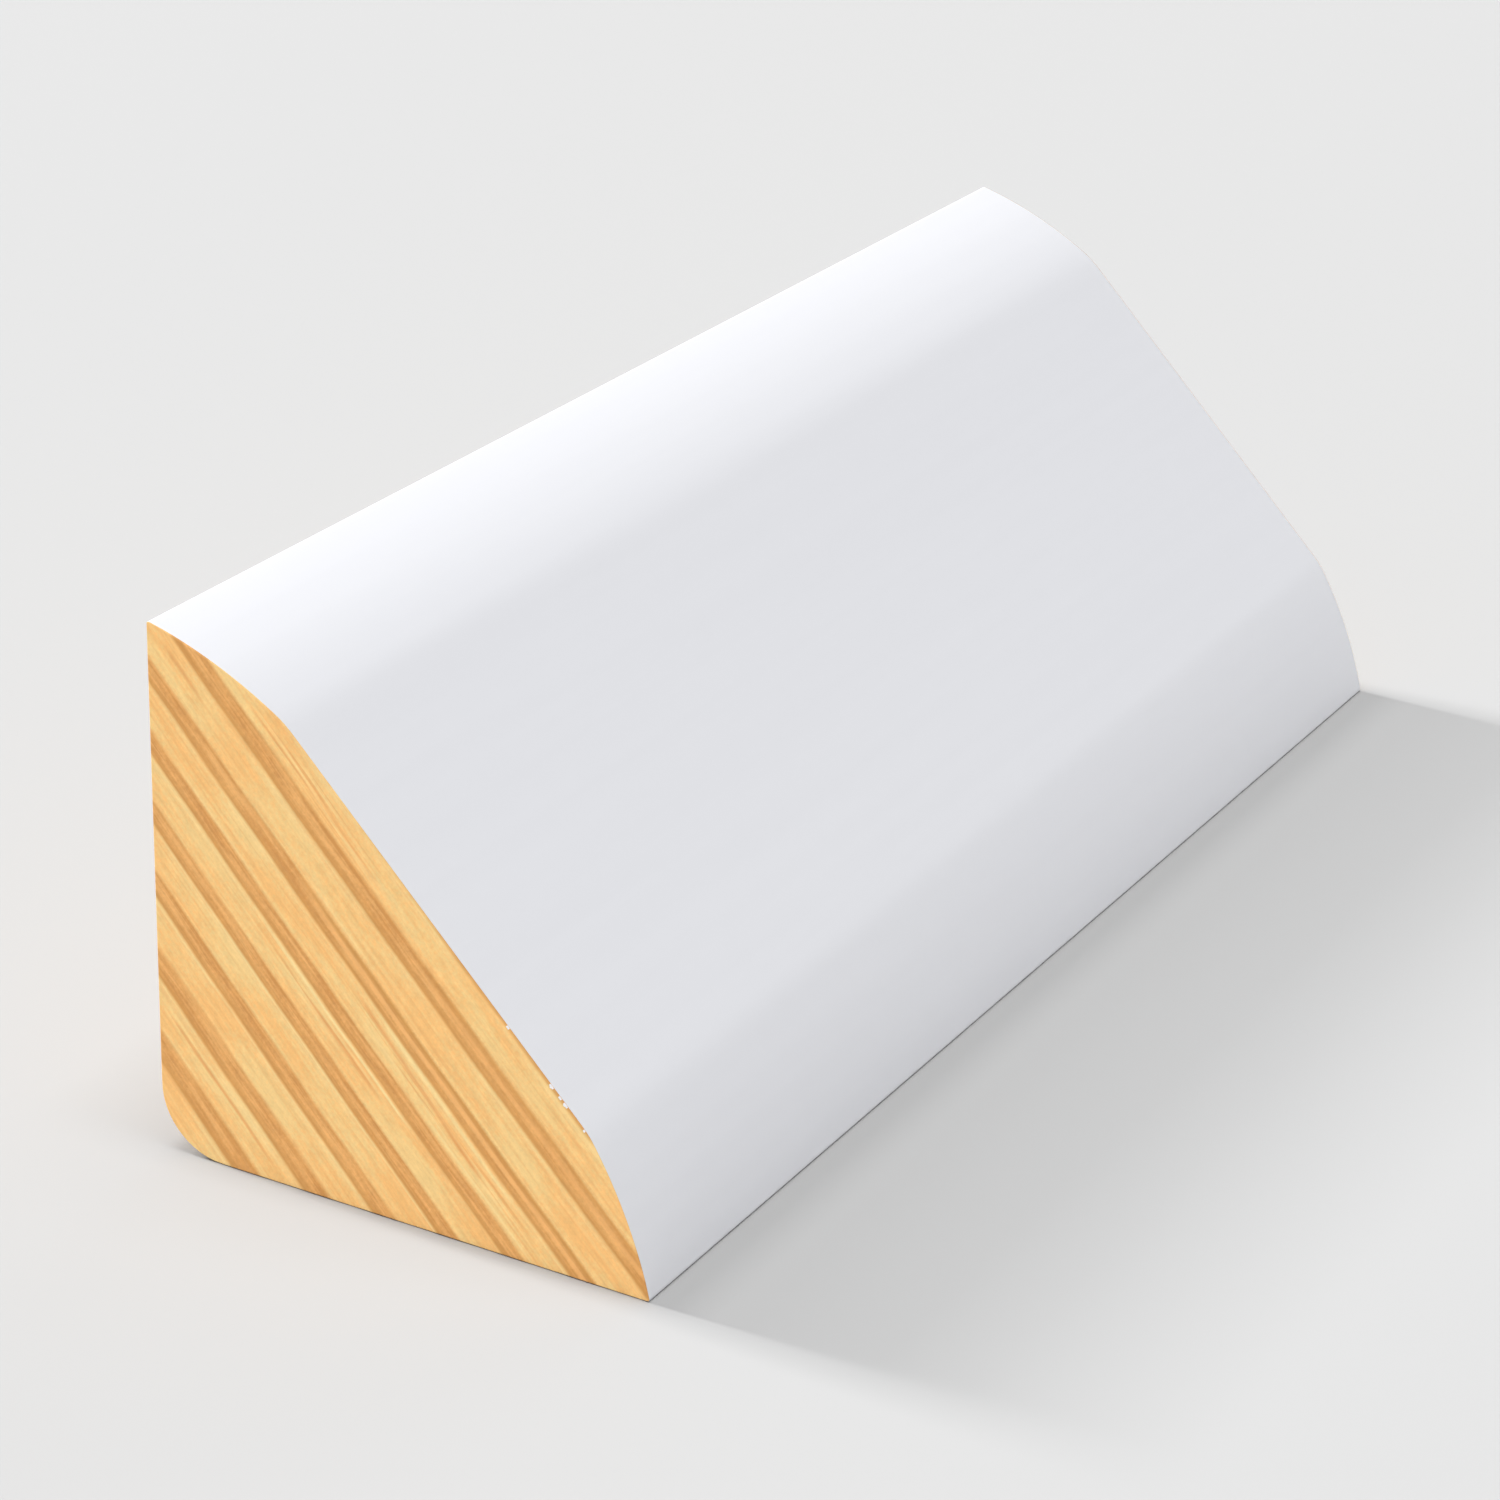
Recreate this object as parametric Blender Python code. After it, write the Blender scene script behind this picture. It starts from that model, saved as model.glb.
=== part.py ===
"""Triangular corner moulding: a short, square-cut length of white-painted pine.

The moulding is one stick of wood that covers the corner where a wall meets a floor or a
ceiling. Its section is a right-angled triangle with two equal legs. A wide flat face slopes
at 45 degrees between them, and near each leg's end the face bends over in a long, gentle
shoulder. The corner between the two legs is rounded, so that it clears plaster or sealant.

Units are metres and +Z is up. The moulding runs along X, its back is against a wall on the
+Y side, its base lies on Z = 0, and the sloping face looks up and towards -Y. The origin is
on the base, under the middle of the moulding's box.
"""

import math

import bmesh
import bpy

MM = 0.001
DEGREE = math.pi / 180.0

# Driving dimensions
LEG = 21.0 * MM  # height of the back, and depth of the base
LENGTH = 65.0 * MM  # between the two square cuts
HEEL_RADIUS = 2.6 * MM  # the rounded corner between back and base
TIP_SLOPE = 14.0 * DEGREE  # how steeply the front already falls away at a leg's tip
SHOULDER_RADIUS = 19.0 * MM  # the long, gentle arc next to each tip
SHOULDER_SLOPE = 32.0 * DEGREE  # the slope at which that arc ends
BREAK_RADIUS = 4.0 * MM  # the tighter arc that turns the shoulder into the flat face
FACE_SLOPE = 45.0 * DEGREE  # legs are equal, so the flat face lies on this slope

# Fineness of the facets
ARC_STEPS = 12
SHARP_ANGLE = 30.0 * DEGREE
WELD_DISTANCE = 0.001 * MM

# White satin paint
PAINT_COLOUR = (0.80, 0.81, 0.83, 1.0)
PAINT_ROUGHNESS = 0.45


def arc(start, radius, first_slope, last_slope):
    """Points along an arc that leaves start falling at first_slope and ends at last_slope.

    Depth grows away from the wall and height falls. The start itself is left out.
    """
    depth, height = start
    points = []
    for step in range(1, ARC_STEPS + 1):
        slope = first_slope + (last_slope - first_slope) * step / ARC_STEPS
        points.append(
            (
                depth + radius * (math.sin(slope) - math.sin(first_slope)),
                height - radius * (math.cos(first_slope) - math.cos(slope)),
            )
        )
    return points


def upper_front():
    """The front's upper half, from the back's tip to where the flat face begins."""
    points = [(0.0, LEG)]
    points += arc(points[-1], SHOULDER_RADIUS, TIP_SLOPE, SHOULDER_SLOPE)
    points += arc(points[-1], BREAK_RADIUS, SHOULDER_SLOPE, FACE_SLOPE)
    return points


def heel():
    """The rounded corner between base and back, from the base up to the back."""
    points = []
    for step in range(ARC_STEPS + 1):
        turn = 90.0 * DEGREE * step / ARC_STEPS
        points.append((HEEL_RADIUS * (1.0 - math.sin(turn)), HEEL_RADIUS * (1.0 - math.cos(turn))))
    return points


def section():
    """The whole outline as (depth from the back, height over the base)."""
    upper = upper_front()
    lower = [(height, depth) for depth, height in reversed(upper)]
    return upper + lower + heel()


def paint_material():
    material = bpy.data.materials.new("white_paint")
    material.use_nodes = True
    shader = material.node_tree.nodes["Principled BSDF"]
    shader.inputs["Base Color"].default_value = PAINT_COLOUR
    shader.inputs["Roughness"].default_value = PAINT_ROUGHNESS
    shader.inputs["Metallic"].default_value = 0.0
    material.diffuse_color = PAINT_COLOUR
    return material


def outline_curve(collection):
    """The section as a filled flat curve, as thick as the moulding is long."""
    outline = section()
    curve = bpy.data.curves.new("section", "CURVE")
    curve.dimensions = "2D"
    curve.fill_mode = "BOTH"
    curve.extrude = LENGTH / 2.0
    spline = curve.splines.new("POLY")
    spline.points.add(len(outline) - 1)
    spline.use_cyclic_u = True
    for point, (depth, height) in zip(spline.points, outline):
        point.co = (depth - LEG / 2.0, height, 0.0, 1.0)
    holder = bpy.data.objects.new("section", curve)
    # The curve's own X, Y and Z become -Y, +Z and -X: outwards, up and along the run
    holder.rotation_euler = (90.0 * DEGREE, 0.0, -90.0 * DEGREE)
    collection.objects.link(holder)
    return holder


def build_moulding(collection):
    """The section made into one closed mesh, smooth along its arcs and crisp at its cuts."""
    holder = outline_curve(collection)
    bpy.context.view_layer.update()
    evaluated = holder.evaluated_get(bpy.context.evaluated_depsgraph_get())
    mesh = bpy.data.meshes.new_from_object(evaluated)
    mesh.name = "corner_moulding"
    moulding = bpy.data.objects.new("corner_moulding", mesh)
    moulding.matrix_world = holder.matrix_world
    bpy.data.objects.remove(holder)
    collection.objects.link(moulding)

    body = bmesh.new()
    body.from_mesh(mesh)
    bmesh.ops.remove_doubles(body, verts=body.verts, dist=WELD_DISTANCE)
    bmesh.ops.recalc_face_normals(body, faces=body.faces)
    body.to_mesh(mesh)
    body.free()

    mesh.materials.clear()
    mesh.materials.append(paint_material())
    mesh.shade_smooth()
    mesh.set_sharp_from_angle(angle=SHARP_ANGLE)
    return moulding


def main():
    for old in list(bpy.data.objects):
        bpy.data.objects.remove(old)
    collection = bpy.data.collections.new("triangular_corner_moulding")
    bpy.context.scene.collection.children.link(collection)
    build_moulding(collection)


main()
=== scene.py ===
"""Looks of the triangular corner moulding: painted front, sawn pine ends, planed back and base.

One mesh stands for the moulding. Its skin follows the section given by the named sizes below,
in millimetres, between the two cuts. Each cut end is a fine mesh of its own, sunk a little
between the hard latewood bands, and the near one has flecks of paint along its painted edge.
Every point of the mesh knows which year of growth it lies in, so the bands on the ends and the
lines along the back and base are the same wood.
"""

import math

import bmesh
import bpy
import numpy as np
from mathutils import Euler, Matrix, Vector
from mathutils.geometry import delaunay_2d_cdt


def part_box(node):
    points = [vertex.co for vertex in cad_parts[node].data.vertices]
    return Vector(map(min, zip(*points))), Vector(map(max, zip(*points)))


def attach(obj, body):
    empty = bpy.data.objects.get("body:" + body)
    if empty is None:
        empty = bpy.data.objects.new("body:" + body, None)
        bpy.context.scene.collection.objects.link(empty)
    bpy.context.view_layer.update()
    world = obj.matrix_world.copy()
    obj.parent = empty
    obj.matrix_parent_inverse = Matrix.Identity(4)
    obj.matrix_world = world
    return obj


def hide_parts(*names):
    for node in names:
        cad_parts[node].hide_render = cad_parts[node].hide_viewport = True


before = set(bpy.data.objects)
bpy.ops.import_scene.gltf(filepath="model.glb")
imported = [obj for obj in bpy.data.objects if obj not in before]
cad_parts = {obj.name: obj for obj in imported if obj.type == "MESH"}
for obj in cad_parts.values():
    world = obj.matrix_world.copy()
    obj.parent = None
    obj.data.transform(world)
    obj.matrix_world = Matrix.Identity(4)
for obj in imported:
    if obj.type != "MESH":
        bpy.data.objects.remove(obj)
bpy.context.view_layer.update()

MM = 0.001
DEGREE = math.pi / 180.0
DIAGONAL = math.sqrt(0.5)

# The moulding's own box, in millimetres
box_low, box_high = (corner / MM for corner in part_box("corner_moulding"))
LEG = box_high.z - box_low.z
NEAR_END = box_low.x
FAR_END = box_high.x
LENGTH = FAR_END - NEAR_END
BACK = box_high.y

# Section, in millimetres
HEEL_RADIUS = 2.6
TIP_SLOPE = 14.0 * DEGREE
SHOULDER_RADIUS = 19.0
SHOULDER_SLOPE = 32.0 * DEGREE
BREAK_RADIUS = 4.0
FACE_SLOPE = 45.0 * DEGREE
TIP_RADIUS = 0.07  # the slight easing of the two long edges
CUT_RADIUS = 0.05  # the slight easing of the sawn edges
CUT_EDGE_STEPS = 3
ARC_STEPS = 60
SHARP_ANGLE = 40.0 * DEGREE

# The materials' places on the mesh
PAINTED, PLANED, SAWN = range(3)

# Mesh spacing, in millimetres
FINE_STEP = 0.04
STEP_GROWTH = 0.25
SKIN_STEP = 0.3
RUN_STEP = 1.0
NEAR_GRID = (0.085, 0.17)  # on the cut end: across and along the bands
FAR_GRID = (0.11, 0.22)
GRID_MARGIN = 0.07
FLECK_ROWS = 5
MERGE_DISTANCE = 1e-5

# Growth of the wood, in millimetres. "Across" is measured from the heel's square corner
# towards the middle of the flat face, and "along" from the flat face's middle to the tip.
RING_WIDTH = 2.1
FIRST_RING = 2.3
RINGS_SPAN = 14.7
UNEVEN_SLOW = 0.21
UNEVEN_FAST = 0.22
LEAN_AT_HEEL = 0.068
LEAN_LOSS = 0.0033
BOW = 0.0008
DRIFT = 0.010  # how far the rings move across in each millimetre of the run
SWAY = 0.22
SWAY_LENGTH = 13.0
RIPPLE = 0.012
RIPPLE_TURNS = (0.25, 1.3, 1.1)  # radians in each millimetre of the run, across and along
LATE_START = 0.13  # how much later the ring under the flat face begins
LATE_START_PLACE = 13.6  # where across that sets in
LATEWOOD_SHARE = 0.385
SHARE_SWAY = 0.03
SHARE_TURN = 2.0 * math.pi / 7.0  # of that sway, from one ring to the next
EARLYWOOD_SINK = 0.02
SINK_START = 0.10  # share of a year over which a cut end falls from latewood to earlywood
SINK_END = 0.08  # share of a year over which it rises to the next latewood

# Rings whose latewood is parted by a lighter middle: ring, how strongly, and below which "along"
DOUBLED = ((0, 0.25, 2.0), (5, 1.0, 4.5), (6, 0.6, 0.5))
DOUBLED_LEAD = 0.3  # share of a year that is counted with the ring after it
DOUBLED_FADE = 3.0

# Earlywood with fine resin streaks: year, place along, half a year's share, half length, strength
STREAKED = (
    (0.76, 1.0, 0.10, 4.5, 0.6),
    (3.76, -0.5, 0.16, 4.0, 0.5),
    (4.68, -5.5, 0.24, 6.0, 0.6),
    (6.62, 6.0, 0.20, 4.5, 0.7),
)
STREAKED_EDGE = 1.4  # more makes the streaked patches' edges steeper

# Single resin lines, each from one year and place along to another, with half its width as a
# share of a year, and its strength
DARK_LINES = (
    ((4.83, 0.5), (4.63, -8.5), 0.085, 1.0),
    ((4.55, -8.5), (4.56, -12.5), 0.045, 0.5),
    ((3.74, 1.5), (3.75, -4.0), 0.085, 0.85),
    ((6.53, 2.0), (6.70, 7.5), 0.050, 0.6),
    ((5.765, 14.5), (5.76, 11.0), 0.060, 0.9),
    ((0.765, 2.5), (0.775, -3.5), 0.050, 0.7),
)
PALE_LINES = (
    ((4.94, -1.0), (4.90, -10.0), 0.085, 0.9),
    ((4.44, -4.5), (4.46, -12.0), 0.045, 0.7),
    ((3.925, 4.5), (3.94, -5.5), 0.065, 1.0),
    ((5.45, 5.0), (5.46, 0.0), 0.045, 0.5),
    ((6.44, 1.5), (6.69, 9.5), 0.045, 0.4),
    ((6.39, -9.5), (6.40, -13.5), 0.045, 0.5),
    ((4.40, 10.5), (4.40, 5.0), 0.045, 0.5),
    ((0.44, 4.0), (0.45, 0.5), 0.045, 0.5),
    ((0.88, 1.5), (0.89, -4.0), 0.055, 0.5),
    ((2.98, 9.5), (2.975, -9.5), 0.050, 0.5),
    ((1.96, 6.0), (1.965, -7.0), 0.050, 0.4),
)

# Flecks of paint on the near end, along its painted edge: place along, half width and depth
FLECKS = (
    (-4.2, 0.08, 0.08),
    (-6.75, 0.09, 0.12),
    (-7.25, 0.06, 0.07),
    (-7.55, 0.11, 0.13),
    (-8.65, 0.05, 0.06),
)
OVERSPRAY = 1.3

# Camera: the point it aims at and how far off it is, in millimetres, and how it is turned
AIM = (-3.1, 2.45, 7.05)
DISTANCE = 176.4
AZIMUTH = -60.9 * DEGREE
ELEVATION = 23.85 * DEGREE
ROLL = 1.57 * DEGREE
LENS = 103.1


def srgb(red, green, blue):
    """A colour given as the 0 to 255 numbers of a screen, as linear light with full alpha."""
    linear = []
    for value in (red, green, blue):
        share = value / 255.0
        linear.append(share / 12.92 if share <= 0.04045 else ((share + 0.055) / 1.055) ** 2.4)
    return (*linear, 1.0)


# Section and growth of the wood


def rounds():
    """The section's arcs, clockwise from the back's top: centre, radius, first and last angle.

    An angle is that of the outward normal, from straight up towards the room. The flat
    stretches are what lies between one arc's end and the next one's start.
    """
    shoulder = np.array(
        [-SHOULDER_RADIUS * math.sin(TIP_SLOPE), LEG - SHOULDER_RADIUS * math.cos(TIP_SLOPE)]
    )
    turn = np.array([math.sin(SHOULDER_SLOPE), math.cos(SHOULDER_SLOPE)])
    knee = shoulder + (SHOULDER_RADIUS - BREAK_RADIUS) * turn
    reach = SHOULDER_RADIUS - TIP_RADIUS
    rise = math.sqrt(reach**2 - (TIP_RADIUS - shoulder[0]) ** 2)
    tip = np.array([TIP_RADIUS, shoulder[1] + rise])
    tip_end = math.atan2(tip[0] - shoulder[0], tip[1] - shoulder[1])
    quarter = 90.0 * DEGREE
    upper = [
        (tip, TIP_RADIUS, -quarter, tip_end),
        (shoulder, SHOULDER_RADIUS, tip_end, SHOULDER_SLOPE),
        (knee, BREAK_RADIUS, SHOULDER_SLOPE, FACE_SLOPE),
    ]
    lower = [
        (centre[::-1], radius, quarter - last, quarter - first)
        for centre, radius, first, last in reversed(upper)
    ]
    heel = (np.array([HEEL_RADIUS, HEEL_RADIUS]), HEEL_RADIUS, 2.0 * quarter, 3.0 * quarter)
    return [*upper, *lower, heel]


def across_and_along(depth, height):
    """Turns depth and height into the directions across and along the wood's bands."""
    return (depth + height) * DIAGONAL, (height - depth) * DIAGONAL


def section_paths():
    """The front and the back halves of the section, each as along, depth, height, normal."""
    rows = []
    for centre, radius, first, last in rounds():
        for angle in np.linspace(first, last, ARC_STEPS):
            normal = np.array([math.sin(angle), math.cos(angle)])
            rows.append((*(centre + radius * normal), *normal))
    loop = np.array(rows)
    along = across_and_along(loop[:, 0], loop[:, 1])[1]
    top, toe = int(along.argmax()), int(along.argmin())
    front = np.column_stack([along, loop])[top : toe + 1]
    rear = np.roll(np.column_stack([along, loop]), -toe, axis=0)[: len(loop) - (toe - top) + 1]
    return front[::-1], rear


def resampled(path, stations):
    """Depth, height and normal of a path at the given places along."""
    return np.column_stack([np.interp(stations, path[:, 0], column) for column in path[:, 1:].T])


def across_at(path, along):
    """How far across a path lies at the given place along."""
    return np.interp(along, path[:, 0], across_and_along(path[:, 1], path[:, 2])[0])


def graded(first, last, busy, coarse):
    """Stations from first to last, close together at the busy places and coarse elsewhere."""
    stations = [first]
    while stations[-1] < last:
        here = stations[-1]
        nearest = min(abs(here - place) for place in busy)
        stations.append(here + min(coarse, FINE_STEP + STEP_GROWTH * nearest))
    stations = np.array(stations)
    return first + (stations - first) * (last - first) / (stations[-1] - first)


def year_of_growth(x, depth, height):
    """Which year's ring a point lies in; whole numbers are the sharp edges of the latewood."""
    across, along = across_and_along(depth, height)
    run = x - NEAR_END
    place = across - along * (LEAN_AT_HEEL - LEAN_LOSS * across) - BOW * along**2
    place = place + DRIFT * run + SWAY * np.sin(run / SWAY_LENGTH)
    run_turn, across_turn, along_turn = RIPPLE_TURNS
    place = place + RIPPLE * np.sin(along_turn * along + across_turn * across + run_turn * run)
    place = place - LATE_START * smooth_step(place - LATE_START_PLACE)
    turn = (place - FIRST_RING) / RINGS_SPAN * math.pi
    uneven = UNEVEN_SLOW * np.sin(turn) + UNEVEN_FAST * np.sin(2.0 * turn)
    return (place - FIRST_RING - uneven) / RING_WIDTH


def latewood_share(year):
    """How much of a ring is dark latewood."""
    return LATEWOOD_SHARE + SHARE_SWAY * np.cos(np.floor(year) * SHARE_TURN)


def sink(year):
    """How far the softer earlywood of a cut end lies below the latewood."""
    phase = year % 1.0
    soft = np.clip((phase - latewood_share(year)) / SINK_START, 0.0, 1.0)
    soft = soft * np.clip((1.0 - phase) / SINK_END, 0.0, 1.0)
    return EARLYWOOD_SINK * soft


def smooth_step(value):
    """Rises from 0 to 1 as the value does, with a level start and end."""
    value = np.clip(value, 0.0, 1.0)
    return value * value * (3.0 - 2.0 * value)


def doubling(year, along):
    """How far the latewood of a ring is parted in two."""
    ring = np.floor(year + DOUBLED_LEAD)
    parted = np.zeros_like(year)
    for number, strength, limit in DOUBLED:
        parted += strength * (ring == number) * smooth_step((limit - along) / DOUBLED_FADE)
    return parted


def streakiness(year, along):
    """How streaky the earlywood is."""
    streaky = np.zeros_like(year)
    for centre, middle, half_share, half_length, strength in STREAKED:
        near = 1.0 - ((year - centre) / half_share) ** 2 - ((along - middle) / half_length) ** 2
        streaky = np.maximum(streaky, strength * smooth_step(STREAKED_EDGE * near))
    return streaky


# The mesh


def fleck_depth(along):
    """How far the flecks of paint reach in from the near end's painted edge."""
    reach = np.zeros_like(along)
    for place, half_width, depth in FLECKS:
        share = np.clip(1.0 - np.abs(along - place) / half_width, 0.0, 1.0)
        reach = np.maximum(reach, depth * np.sqrt(share))
    return reach


def skin_loop():
    """The outline's points, their normals, and which of its edges are painted."""
    front, rear = section_paths()
    busy = [rear[0, 0], rear[-1, 0], *(fleck[0] for fleck in FLECKS)]
    stations = graded(rear[0, 0], rear[-1, 0], busy, SKIN_STEP)
    loop = np.vstack([resampled(front, stations), resampled(rear, stations)[::-1][1:-1]])
    loop[:, 2:] /= np.linalg.norm(loop[:, 2:], axis=1)[:, None]
    painted = np.arange(len(loop)) < len(stations) - 1
    return loop, painted


def run_stations():
    """Places along the run, each with how far the outline is drawn in there."""
    start = []
    for step in range(CUT_EDGE_STEPS):
        turn = 90.0 * DEGREE * step / CUT_EDGE_STEPS
        start.append((CUT_RADIUS * (1.0 - math.cos(turn)), CUT_RADIUS * (1.0 - math.sin(turn))))
    middle = [(x, 0.0) for x in graded(CUT_RADIUS, LENGTH - CUT_RADIUS, (0.0, LENGTH), RUN_STEP)]
    end = [(LENGTH - x, inset) for x, inset in reversed(start)]
    return np.array(start + middle + end)


def cap_mesh(ring, grid):
    """Triangles that fill a cut end: the ring's points come first, then the inner ones."""
    front, rear = section_paths()
    across_step, along_step = grid
    inner = []
    for along in np.arange(-LEG, LEG, along_step):
        if not rear[0, 0] < along < rear[-1, 0]:
            continue
        low = across_at(rear, along) + CUT_RADIUS + GRID_MARGIN
        high = across_at(front, along) - CUT_RADIUS - GRID_MARGIN
        places = np.arange(low, high, across_step)
        if len(places) > 1:
            places = low + (places - low) * (high - low) / (places[-1] - low)
            inner += [(across, along) for across in places]
    for place, half_width, _ in FLECKS:
        for along in np.arange(place - 2.0 * half_width, place + 2.0 * half_width, FINE_STEP):
            edge = across_at(front, along) - CUT_RADIUS
            inner += [(edge - FINE_STEP * (row + 1), along) for row in range(FLECK_ROWS)]
    across, along = np.array(inner).T
    flat = np.column_stack([(across - along) * DIAGONAL, (across + along) * DIAGONAL])
    points = [Vector(point) for point in np.vstack([ring, flat])]
    rim = [(i, (i + 1) % len(ring)) for i in range(len(ring))]
    places, _, faces, origins, _, _ = delaunay_2d_cdt(points, rim, [], 1, MERGE_DISTANCE)
    order = [source[0] if source else None for source in origins]
    return np.array([tuple(place) for place in places]), faces, order


def moulding_mesh():
    """The whole moulding as points, faces with their material, and each point's share of paint."""
    loop, painted = skin_loop()
    stations = run_stations()
    count = len(loop)
    along = across_and_along(loop[:, 0], loop[:, 1])[1]
    on_front = np.arange(count) <= painted.sum()
    overspray = np.clip(1.0 - (along.max() - np.abs(along)) / OVERSPRAY, 0.0, 1.0)
    points, paint, faces, slots = [], [], [], []
    for x, inset in stations:
        drawn = loop[:, :2] - loop[:, 2:] * inset
        end, side = (NEAR_END, 1.0) if x < LENGTH / 2.0 else (FAR_END, -1.0)
        years = year_of_growth(end, drawn[:, 0], drawn[:, 1])
        push = side * sink(years) * inset / CUT_RADIUS
        points.append(np.column_stack([NEAR_END + x + push, drawn]))
        if inset > 0.0:
            paint.append((fleck_depth(along) > 0.0) * on_front * (end == NEAR_END))
        else:
            paint.append(overspray)
    for row in range(len(stations) - 1):
        cut_edge = stations[row, 1] > 0.0 or stations[row + 1, 1] > 0.0
        for i in range(count):
            j = (i + 1) % count
            base = row * count
            faces.append((base + i, base + j, base + count + j, base + count + i))
            slots.append(SAWN if cut_edge else PAINTED if painted[i] else PLANED)
    total = len(stations) * count
    front, _ = section_paths()
    for first_row, end, side, grid in (
        (0, NEAR_END, 1.0, NEAR_GRID),
        (len(stations) - 1, FAR_END, -1.0, FAR_GRID),
    ):
        ring = points[first_row][:, 1:]
        places, triangles, order = cap_mesh(ring, grid)
        index = {}
        new_points = []
        for k, source in enumerate(order):
            if source is not None and source < count:
                index[k] = first_row * count + source
            else:
                index[k] = total + len(new_points)
                new_points.append(places[k])
        fresh = np.array(new_points)
        fresh_across, fresh_along = across_and_along(fresh[:, 0], fresh[:, 1])
        inward = across_at(front, fresh_along) - fresh_across
        fleck = (inward < fleck_depth(fresh_along)) * (end == NEAR_END)
        push = sink(year_of_growth(end, fresh[:, 0], fresh[:, 1])) * (1.0 - fleck)
        points.append(np.column_stack([end + side * push, fresh]))
        paint.append(fleck)
        total += len(fresh)
        for triangle in triangles:
            faces.append(tuple(index[k] for k in triangle))
            slots.append(SAWN)
    return np.vstack(points), faces, slots, np.concatenate(paint)


def build_moulding():
    """The moulding as an object, with its growth and its paint kept as values on its points."""
    points, faces, slots, paint = moulding_mesh()
    x, depth, height = points.T
    along = across_and_along(depth, height)[1]
    years = year_of_growth(x, depth, height)
    mesh = bpy.data.meshes.new("moulding")
    placed = np.column_stack([x, BACK - depth, height]) * MM
    mesh.from_pydata(placed.tolist(), [], faces)
    known = {
        "year": years,
        "doubled": doubling(years, along),
        "streaky": streakiness(years, along),
        "paint": paint,
    }
    for name, values in known.items():
        attribute = mesh.attributes.new(name, "FLOAT", "POINT")
        attribute.data.foreach_set("value", np.asarray(values, dtype=np.float32))
    for material in (white_paint(), pine("planed_pine", False), pine("sawn_pine", True)):
        mesh.materials.append(material)
    mesh.polygons.foreach_set("material_index", slots)
    body = bmesh.new()
    body.from_mesh(mesh)
    bmesh.ops.recalc_face_normals(body, faces=body.faces)
    body.to_mesh(mesh)
    body.free()
    mesh.shade_smooth()
    mesh.set_sharp_from_angle(angle=SHARP_ANGLE)
    moulding = bpy.data.objects.new("moulding", mesh)
    bpy.context.scene.collection.objects.link(moulding)
    return moulding


# Materials


class Nodes:
    """Short names for making and linking the nodes of one material."""

    def __init__(self, name):
        self.material = bpy.data.materials.new(name)
        self.material.use_nodes = True
        self.tree = self.material.node_tree
        self.shader = self.tree.nodes["Principled BSDF"]

    def put(self, socket, value):
        if isinstance(value, bpy.types.NodeSocket):
            self.tree.links.new(value, socket)
        else:
            socket.default_value = value

    def math(self, operation, *values):
        node = self.tree.nodes.new("ShaderNodeMath")
        node.operation = operation
        for socket, value in zip(node.inputs, values):
            self.put(socket, value)
        return node.outputs[0]

    def range(self, value, low, high, new_low=0.0, new_high=1.0, smooth=False):
        node = self.tree.nodes.new("ShaderNodeMapRange")
        node.interpolation_type = "SMOOTHSTEP" if smooth else "LINEAR"
        for socket, given in zip(node.inputs, (value, low, high, new_low, new_high)):
            self.put(socket, given)
        return node.outputs[0]

    def mix(self, share, first, second):
        node = self.tree.nodes.new("ShaderNodeMix")
        node.data_type = "RGBA"
        self.put(node.inputs["Factor"], share)
        self.put(node.inputs["A"], first)
        self.put(node.inputs["B"], second)
        return node.outputs["Result"]

    def mix_value(self, share, first, second):
        """Mixes two numbers. The node's second input is for vectors and stays as it is."""
        node = self.tree.nodes.new("ShaderNodeMix")
        for socket, value in zip(node.inputs, (share, None, first, second)):
            if value is not None:
                self.put(socket, value)
        return node.outputs["Result"]

    def place(self):
        return self.tree.nodes.new("ShaderNodeTexCoord").outputs["Object"]

    def stretched(self, sizes):
        """Object coordinates with one unit for each size, in millimetres, along X, Y and Z."""
        node = self.tree.nodes.new("ShaderNodeMapping")
        node.vector_type = "TEXTURE"
        node.inputs["Scale"].default_value = [MM * size for size in sizes]
        self.tree.links.new(self.place(), node.inputs["Vector"])
        return node.outputs[0]

    def noise(self, vector, detail, roughness=0.5):
        """Noise with grains of about one unit of the coordinates."""
        node = self.tree.nodes.new("ShaderNodeTexNoise")
        self.tree.links.new(vector, node.inputs["Vector"])
        node.inputs["Scale"].default_value = 1.0
        node.inputs["Detail"].default_value = detail
        node.inputs["Roughness"].default_value = roughness
        return node.outputs[0]

    def attribute(self, name):
        node = self.tree.nodes.new("ShaderNodeAttribute")
        node.attribute_name = name
        return node.outputs["Fac"]

    def bump(self, height, distance):
        """A normal for a surface that is this high, in millimetres, where height is 1."""
        node = self.tree.nodes.new("ShaderNodeBump")
        node.inputs["Strength"].default_value = 1.0
        node.inputs["Distance"].default_value = MM * distance
        self.put(node.inputs["Height"], height)
        return node.outputs[0]

    def finish(self, **values):
        for name, value in values.items():
            self.put(self.shader.inputs[name.replace("_", " ").title()], value)
        return self.material


PAINT = (0.855, 0.862, 0.899, 1.0)
PAINT_SHADE = (0.845, 0.852, 0.889, 1.0)
LATE_DARK = srgb(210, 147, 77)
LATE_LIGHT = srgb(237, 178, 106)
LATE_EDGE = srgb(207, 148, 76)
LATE_MIDDLE = srgb(240, 180, 108)
EARLY_YELLOW = srgb(244, 206, 136)
EARLY_PEACH = srgb(247, 192, 118)
EARLY_PALE = srgb(249, 213, 146)
RESIN_PALE = srgb(251, 222, 156)
STREAK = srgb(229, 160, 90)

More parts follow.
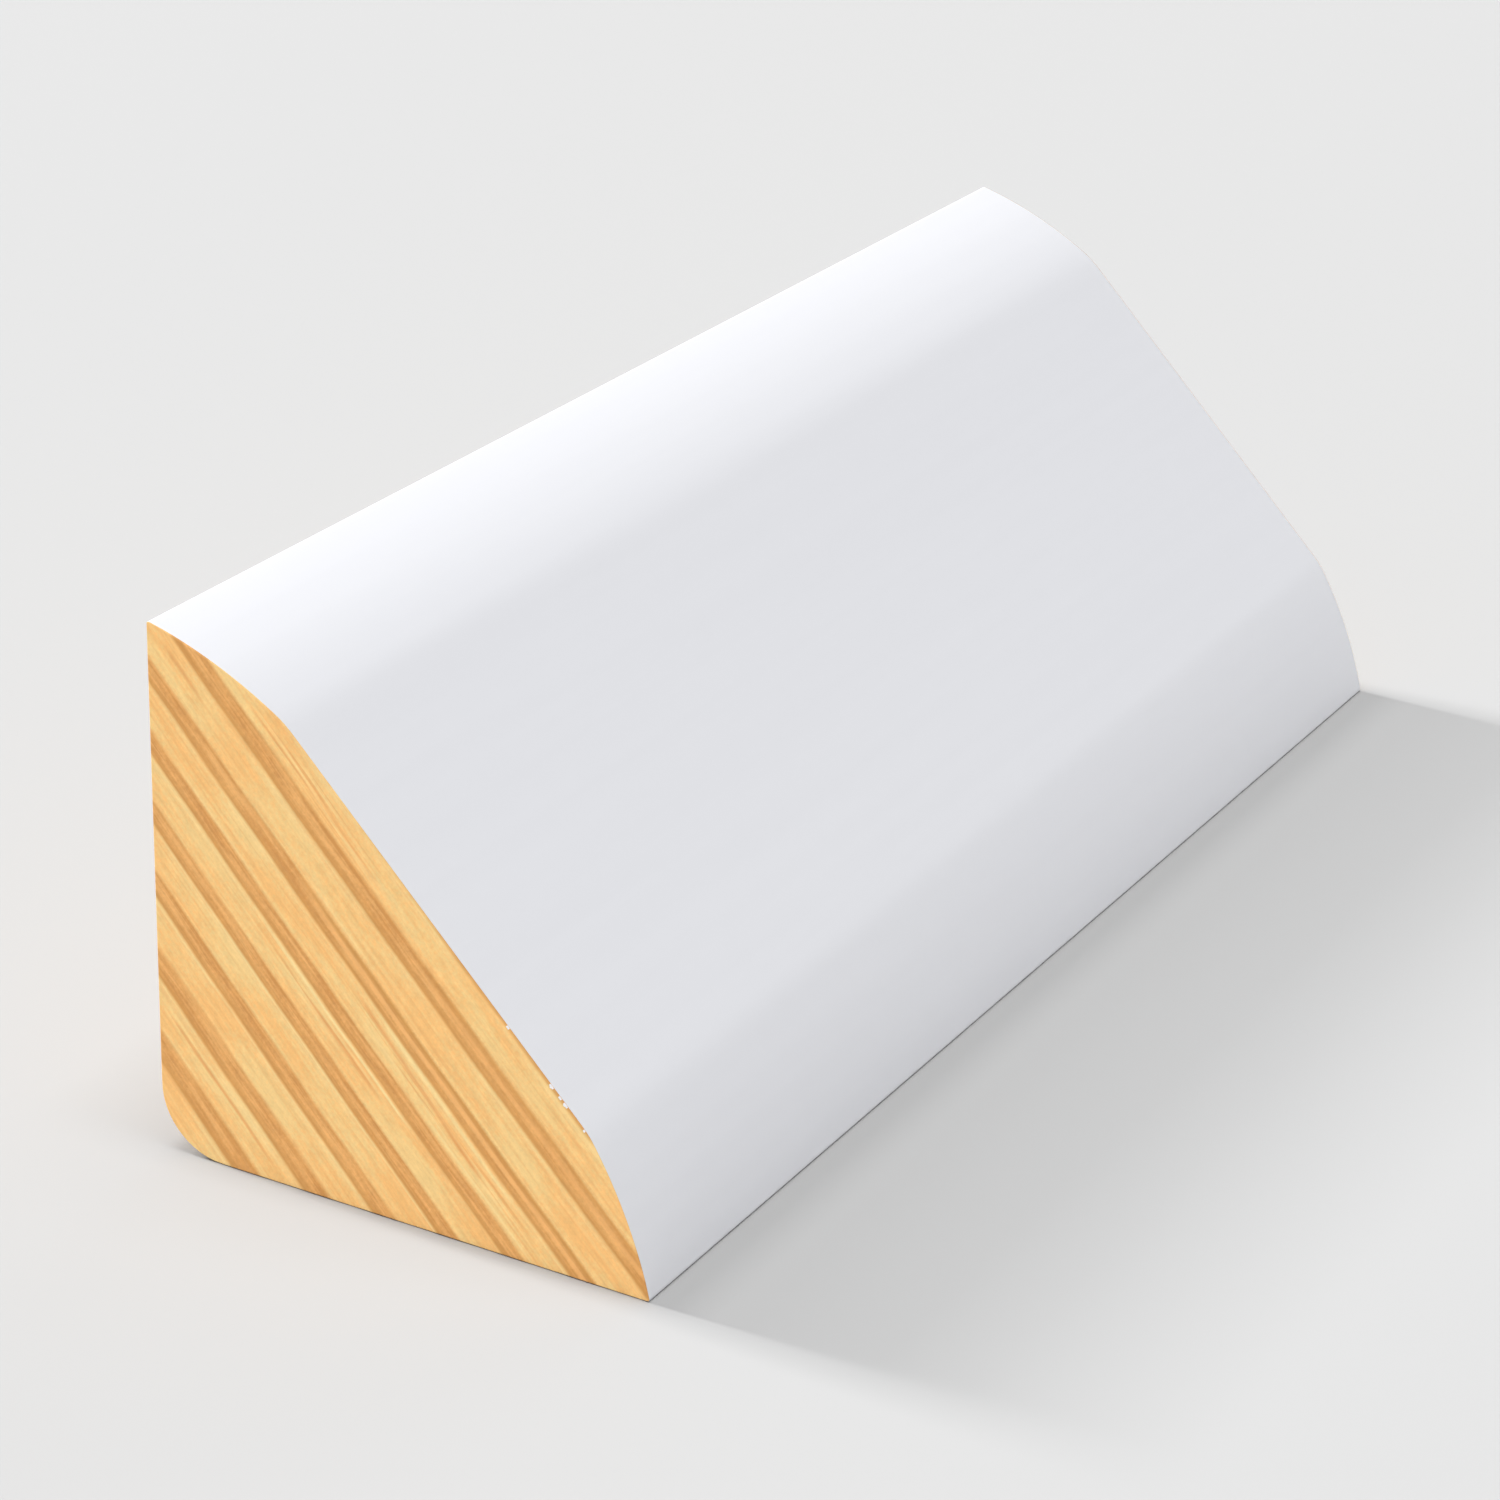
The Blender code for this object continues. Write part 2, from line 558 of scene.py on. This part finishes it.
# Size of the paint's marks and of the wood's fine grain, in millimetres along X, Y and Z
PAINT_LINES = (30.0, 0.9, 0.9)
PAINT_PEEL = (0.7, 0.7, 0.7)
PAINT_MIST = (1.2, 0.5, 0.5)
END_GRAIN = (0.11, 0.11, 0.11)
END_TINT = (0.17, 0.17, 0.17)
LONG_GRAIN = (4.0, 0.10, 0.10)
LONG_TINT = (6.0, 0.16, 0.16)

# Size of the marks that follow the rings, in millimetres across, along and down the run
STRANDS = (0.26, 3.0, 20.0)
PATCHES = (1.3, 5.0, 30.0)
FINE_HUES = (0.30, 2.5, 15.0)
STREAKS = (0.13, 6.0, 25.0)
MOTTLE = (0.26, 0.8, 8.0)

PAINT_BUMP = 0.006
WOOD_BUMP = 0.015
PAINT_ROUGHNESS = (0.42, 0.48)
WOOD_ROUGHNESS = (0.62, 0.74)
OVERSPRAY_ROUGHNESS = 0.45
MIST_STRENGTH = 1.4
GRAIN_SHADE = 0.05  # either way from the wood's own brightness
MOTTLE_SHADE = 0.07
EDGE_SOFTNESS = 0.08  # of a year, at the latewood's sharp edge
EDGE_LEAD = 0.4 * EDGE_SOFTNESS  # how much of that lies before the edge
RAGGEDNESS = 0.035  # of a year
LINE_FADE = 1.5  # in millimetres, at the ends of a resin line
PLANED_SHADE = 0.92  # painted shade: the planed back and base are darkened as a whole, against the strong light from behind on the back


def white_paint():
    """Sprayed satin paint: even, with a trace of the wood's lines and of orange peel."""
    nodes = Nodes("white_paint")
    lines = nodes.noise(nodes.stretched(PAINT_LINES), 3.0)
    peel = nodes.noise(nodes.stretched(PAINT_PEEL), 1.0)
    peel_height = nodes.math("MULTIPLY", peel, 0.4)
    height = nodes.math("ADD", nodes.math("MULTIPLY", lines, 0.6), peel_height)
    shade = nodes.range(lines, 0.3, 0.7)
    return nodes.finish(
        base_color=nodes.mix(shade, PAINT_SHADE, PAINT),
        roughness=nodes.range(peel, 0.3, 0.7, *PAINT_ROUGHNESS),
        normal=nodes.bump(height, PAINT_BUMP),
    )


def along_bands(nodes):
    """The place along the bands, in millimetres, as in across_and_along."""
    turned = nodes.tree.nodes.new("ShaderNodeVectorMath")
    turned.operation = "DOT_PRODUCT"
    nodes.put(turned.inputs[0], nodes.place())
    turned.inputs[1].default_value = (0.0, DIAGONAL / MM, DIAGONAL / MM)
    return nodes.math("SUBTRACT", turned.outputs["Value"], BACK * DIAGONAL)


def growth_coordinates(nodes, year, along, sizes):
    """Coordinates that follow the rings: one unit for each size across, along and down the run."""
    split = nodes.tree.nodes.new("ShaderNodeSeparateXYZ")
    nodes.put(split.inputs[0], nodes.place())
    joined = nodes.tree.nodes.new("ShaderNodeCombineXYZ")
    nodes.put(joined.inputs[0], nodes.math("MULTIPLY", year, RING_WIDTH / sizes[0]))
    nodes.put(joined.inputs[1], nodes.math("MULTIPLY", along, 1.0 / sizes[1]))
    nodes.put(joined.inputs[2], nodes.math("MULTIPLY", split.outputs[0], 1.0 / (MM * sizes[2])))
    return joined.outputs[0]


def resin_lines(nodes, year, along, streaks, lines):
    """How strongly a point lies on one of the given lines."""
    total = 0.0
    for (first_year, first_along), (last_year, last_along), half_width, strength in lines:
        slope = (last_year - first_year) / (last_along - first_along)
        centre = nodes.math("MULTIPLY_ADD", along, slope, first_year - slope * first_along)
        apart = nodes.math("ABSOLUTE", nodes.math("SUBTRACT", year, centre))
        line = nodes.range(apart, half_width, 0.0, 0.0, strength, smooth=True)
        middle = (first_along + last_along) / 2.0
        half_length = abs(last_along - first_along) / 2.0
        off = nodes.math("ABSOLUTE", nodes.math("SUBTRACT", along, middle))
        inside = nodes.range(off, half_length, half_length - LINE_FADE, smooth=True)
        total = nodes.math("MAXIMUM", nodes.math("MULTIPLY", line, inside), total)
    return nodes.math("MULTIPLY", total, nodes.range(streaks, 0.30, 0.65, 0.6, 1.0))


def latewood(nodes, year, along, within, streaks, tint):
    """Dark latewood, from its sharp edge, where within is 0, to its soft one, at 1."""
    strands = nodes.noise(growth_coordinates(nodes, year, along, STRANDS), 2.0, 0.6)
    shade = nodes.mix_value(0.4, strands, streaks)
    shade = nodes.math("MULTIPLY_ADD", nodes.math("SUBTRACT", tint, 0.5), 0.25, shade)
    wood = nodes.mix(nodes.range(shade, 0.38, 0.62), LATE_DARK, LATE_LIGHT)
    doubled = nodes.attribute("doubled")
    middle = nodes.math(
        "MULTIPLY",
        nodes.range(within, 0.36, 0.50, smooth=True),
        nodes.range(within, 0.62, 0.76, 1.0, 0.0, smooth=True),
    )
    wood = nodes.mix(nodes.math("MULTIPLY", middle, doubled), wood, LATE_MIDDLE)
    left_edge = nodes.range(within, 0.08, 0.42, 0.9, 0.0)
    right_edge = nodes.math(
        "MULTIPLY",
        nodes.range(within, 0.64, 0.88, smooth=True),
        nodes.math("MULTIPLY_ADD", doubled, 0.8, 0.15),
    )
    return nodes.mix(nodes.math("MAXIMUM", left_edge, right_edge), wood, LATE_EDGE)


def earlywood(nodes, year, along, phase, streaks, tint):
    """Pale earlywood in yellow and peach patches, with fine lines of resin."""
    patches = nodes.noise(growth_coordinates(nodes, year, along, PATCHES), 1.0)
    fine = nodes.noise(growth_coordinates(nodes, year, along, FINE_HUES), 2.0)
    hue = nodes.math("MULTIPLY_ADD", nodes.math("SUBTRACT", tint, 0.5), 0.5, patches)
    hue = nodes.math("MULTIPLY_ADD", nodes.math("SUBTRACT", fine, 0.5), 0.4, hue)
    wood = nodes.mix(nodes.range(hue, 0.36, 0.64), EARLY_YELLOW, EARLY_PEACH)
    yellowish = nodes.range(hue, 0.75, 0.35)
    pale_edge = nodes.math("MULTIPLY", nodes.range(phase, 0.88, 0.95), yellowish)
    wood = nodes.mix(nodes.math("MULTIPLY", pale_edge, 0.6), wood, EARLY_PALE)
    streaky = nodes.math("MULTIPLY_ADD", nodes.attribute("streaky"), 0.7, 0.25)
    dark = nodes.math("MULTIPLY", nodes.range(streaks, 0.50, 0.66), streaky)
    pale = nodes.math("MULTIPLY", nodes.range(streaks, 0.48, 0.34), streaky)
    wood = nodes.mix(pale, nodes.mix(dark, wood, STREAK), EARLY_PALE)
    wood = nodes.mix(resin_lines(nodes, year, along, streaks, PALE_LINES), wood, RESIN_PALE)
    return nodes.mix(resin_lines(nodes, year, along, streaks, DARK_LINES), wood, STREAK)


def pine(name, cut_end):
    """Bare pine, read from the year of growth: sawn across on the cut ends, planed elsewhere."""
    nodes = Nodes(name)
    year = nodes.attribute("year")
    along = along_bands(nodes)
    grain_size, tint_size = (END_GRAIN, END_TINT) if cut_end else (LONG_GRAIN, LONG_TINT)
    grain = nodes.noise(nodes.stretched(grain_size), 3.0, 0.65)
    tint = nodes.noise(nodes.stretched(tint_size), 2.0, 0.6)
    streaks = nodes.noise(growth_coordinates(nodes, year, along, STREAKS), 2.0, 0.6)
    ragged = nodes.math("MULTIPLY_ADD", nodes.math("SUBTRACT", grain, 0.5), RAGGEDNESS, year)
    shifted = nodes.math("ADD", ragged, EDGE_LEAD)
    phase = nodes.math("FRACT", shifted)
    ring_turn = nodes.math("MULTIPLY", nodes.math("FLOOR", shifted), SHARE_TURN)
    share = nodes.math("MULTIPLY_ADD", nodes.math("COSINE", ring_turn), SHARE_SWAY, LATEWOOD_SHARE)
    within = nodes.math("DIVIDE", nodes.math("SUBTRACT", phase, EDGE_LEAD), share)
    late = nodes.math(
        "MULTIPLY",
        nodes.range(phase, 0.0, EDGE_SOFTNESS, smooth=True),
        nodes.range(within, 0.88, 1.12, 1.0, 0.0, smooth=True),
    )
    late_wood = latewood(nodes, year, along, within, streaks, tint)
    wood = nodes.mix(late, earlywood(nodes, year, along, phase, streaks, tint), late_wood)
    mottle = nodes.noise(growth_coordinates(nodes, year, along, MOTTLE), 2.0, 0.6)
    # The planed sides carry painted shade, darker as a whole, against the strong light from behind
    # on the back.
    painted_shade = 1.0 if cut_end else PLANED_SHADE
    low, high = (1.0 - GRAIN_SHADE) * painted_shade, (1.0 + GRAIN_SHADE) * painted_shade
    light = nodes.math(
        "MULTIPLY",
        nodes.range(grain, 0.25, 0.75, low, high),
        nodes.range(mottle, 0.25, 0.75, 1.0 - MOTTLE_SHADE, 1.0 + MOTTLE_SHADE),
    )
    scaled = nodes.tree.nodes.new("ShaderNodeVectorMath")
    scaled.operation = "SCALE"
    nodes.put(scaled.inputs[0], wood)
    nodes.put(scaled.inputs["Scale"], light)

    paint = nodes.attribute("paint")
    if not cut_end:
        mist = nodes.noise(nodes.stretched(PAINT_MIST), 3.0, 0.6)
        paint = nodes.math("MULTIPLY_ADD", nodes.math("SUBTRACT", mist, 0.5), MIST_STRENGTH, paint)
    painted = nodes.range(paint, 0.50, 0.60 if cut_end else 0.90)
    grain_height = nodes.math("MULTIPLY", grain, 0.5)
    height = nodes.math("ADD", nodes.math("MULTIPLY", late, 0.5), grain_height)
    bare_roughness = nodes.range(grain, 0.3, 0.7, *WOOD_ROUGHNESS)
    return nodes.finish(
        base_color=nodes.mix(painted, scaled.outputs[0], PAINT),
        roughness=nodes.mix_value(painted, bare_roughness, OVERSPRAY_ROUGHNESS),
        normal=nodes.bump(height, WOOD_BUMP),
    )


# Floor, lights and camera


# Floor and lights: how grey and how bright, with places and distances in metres
FLOOR_GREY = 0.30
FLOOR_REACH = 6.0
FLOOR_HEIGHT = -0.02 * MM
LIGHT_DISTANCE = 6.0
ROOM_STRENGTH = 0.40


def floor():
    """A wide plain floor, just below the moulding's base."""
    mesh = bpy.data.meshes.new("floor")
    sides = ((-1, -1), (1, -1), (1, 1), (-1, 1))
    corners = [(x * FLOOR_REACH, y * FLOOR_REACH, FLOOR_HEIGHT) for x, y in sides]
    mesh.from_pydata(corners, [], [(0, 1, 2, 3)])
    nodes = Nodes("floor")
    grey = (FLOOR_GREY, FLOOR_GREY, FLOOR_GREY, 1.0)
    mesh.materials.append(nodes.finish(base_color=grey, roughness=0.9))
    nodes.shader.inputs["Specular IOR Level"].default_value = 0.0
    plane = bpy.data.objects.new("floor", mesh)
    bpy.context.scene.collection.objects.link(plane)
    return plane


def softbox(name, azimuth, elevation, width, height, strength, shadow=True):
    """An area light aimed at the moulding, with its angles in degrees.

    Strength is about what a white card facing a small box would show, and less for a big one.
    """
    light = bpy.data.lights.new(name, "AREA")
    light.shape = "RECTANGLE"
    light.size = width
    light.size_y = height
    light.energy = strength * (math.pi * LIGHT_DISTANCE) ** 2
    light.use_shadow = shadow
    lamp = bpy.data.objects.new(name, light)
    a, e = azimuth * DEGREE, elevation * DEGREE
    back = Vector((math.sin(a) * math.cos(e), -math.cos(a) * math.cos(e), math.sin(e)))
    lamp.location = back * LIGHT_DISTANCE
    lamp.rotation_euler = back.to_track_quat("Z", "Y").to_euler()
    bpy.context.scene.collection.objects.link(lamp)
    return lamp


def receivers(name, thing):
    """A collection that names the one thing a light falls on."""
    collection = bpy.data.collections.new(name)
    collection.objects.link(thing)
    return collection


def lights(plane, moulding):
    """A bright room, strips of light behind the moulding, and soft fills for its ends and front.

    A second set of boxes lights the floor alone, so that it looks as pale as it should while its
    own grey stays deep enough to throw little of the wood's colour about.
    """
    world = bpy.data.worlds.new("studio")
    world.use_nodes = True
    background = world.node_tree.nodes["Background"]
    background.inputs["Color"].default_value = (1.0, 1.0, 1.0, 1.0)
    background.inputs["Strength"].default_value = ROOM_STRENGTH
    bpy.context.scene.world = world
    softbox("strip_low", 180.0, 31.0, 0.5, 0.68, 0.43)
    softbox("strip_high", 180.0, 39.5, 0.5, 1.15, 0.30)
    softbox("overhead", 180.0, 88.0, 4.0, 4.0, 0.38)
    softbox("near_end_fill", -90.0, 15.0, 3.0, 3.0, 0.39, shadow=False)
    far_fill = softbox("far_end_fill", 90.0, 15.0, 3.0, 3.0, 0.26, shadow=False)
    far_fill.visible_glossy = False
    front_fill = softbox("front_fill", 0.0, 45.0, 3.0, 3.0, 0.118)
    front_fill.light_linking.receiver_collection = receivers("moulding_alone", moulding)
    floor_alone = receivers("floor_alone", plane)
    floor_low = softbox("floor_low", 180.0, 32.5, 0.5, 1.1, 0.7)
    floor_high = softbox("floor_high", 180.0, 55.0, 0.5, 1.2, 0.35)
    floor_overhead = softbox("floor_overhead", 180.0, 88.0, 0.8, 4.0, 0.8)
    for lamp in (floor_low, floor_high, floor_overhead):
        lamp.light_linking.receiver_collection = floor_alone


def camera():
    """The main view, from a little above, off the near end and its painted side."""
    data = bpy.data.cameras.new("camera")
    data.lens = LENS
    data.clip_start = 0.01
    data.clip_end = 20.0
    view = bpy.data.objects.new("camera", data)
    turn = Euler((math.pi / 2.0 - ELEVATION, 0.0, AZIMUTH)).to_matrix()
    turn = turn @ Matrix.Rotation(ROLL, 3, "Z")
    away = turn @ Vector((0.0, 0.0, DISTANCE))
    view.matrix_world = Matrix.Translation((Vector(AIM) + away) * MM) @ turn.to_4x4()
    bpy.context.scene.collection.objects.link(view)
    bpy.context.scene.camera = view


camera()
moulding = build_moulding()
lights(floor(), moulding)
bpy.context.scene.view_settings.view_transform = "Standard"
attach(moulding, "root")
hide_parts("corner_moulding")
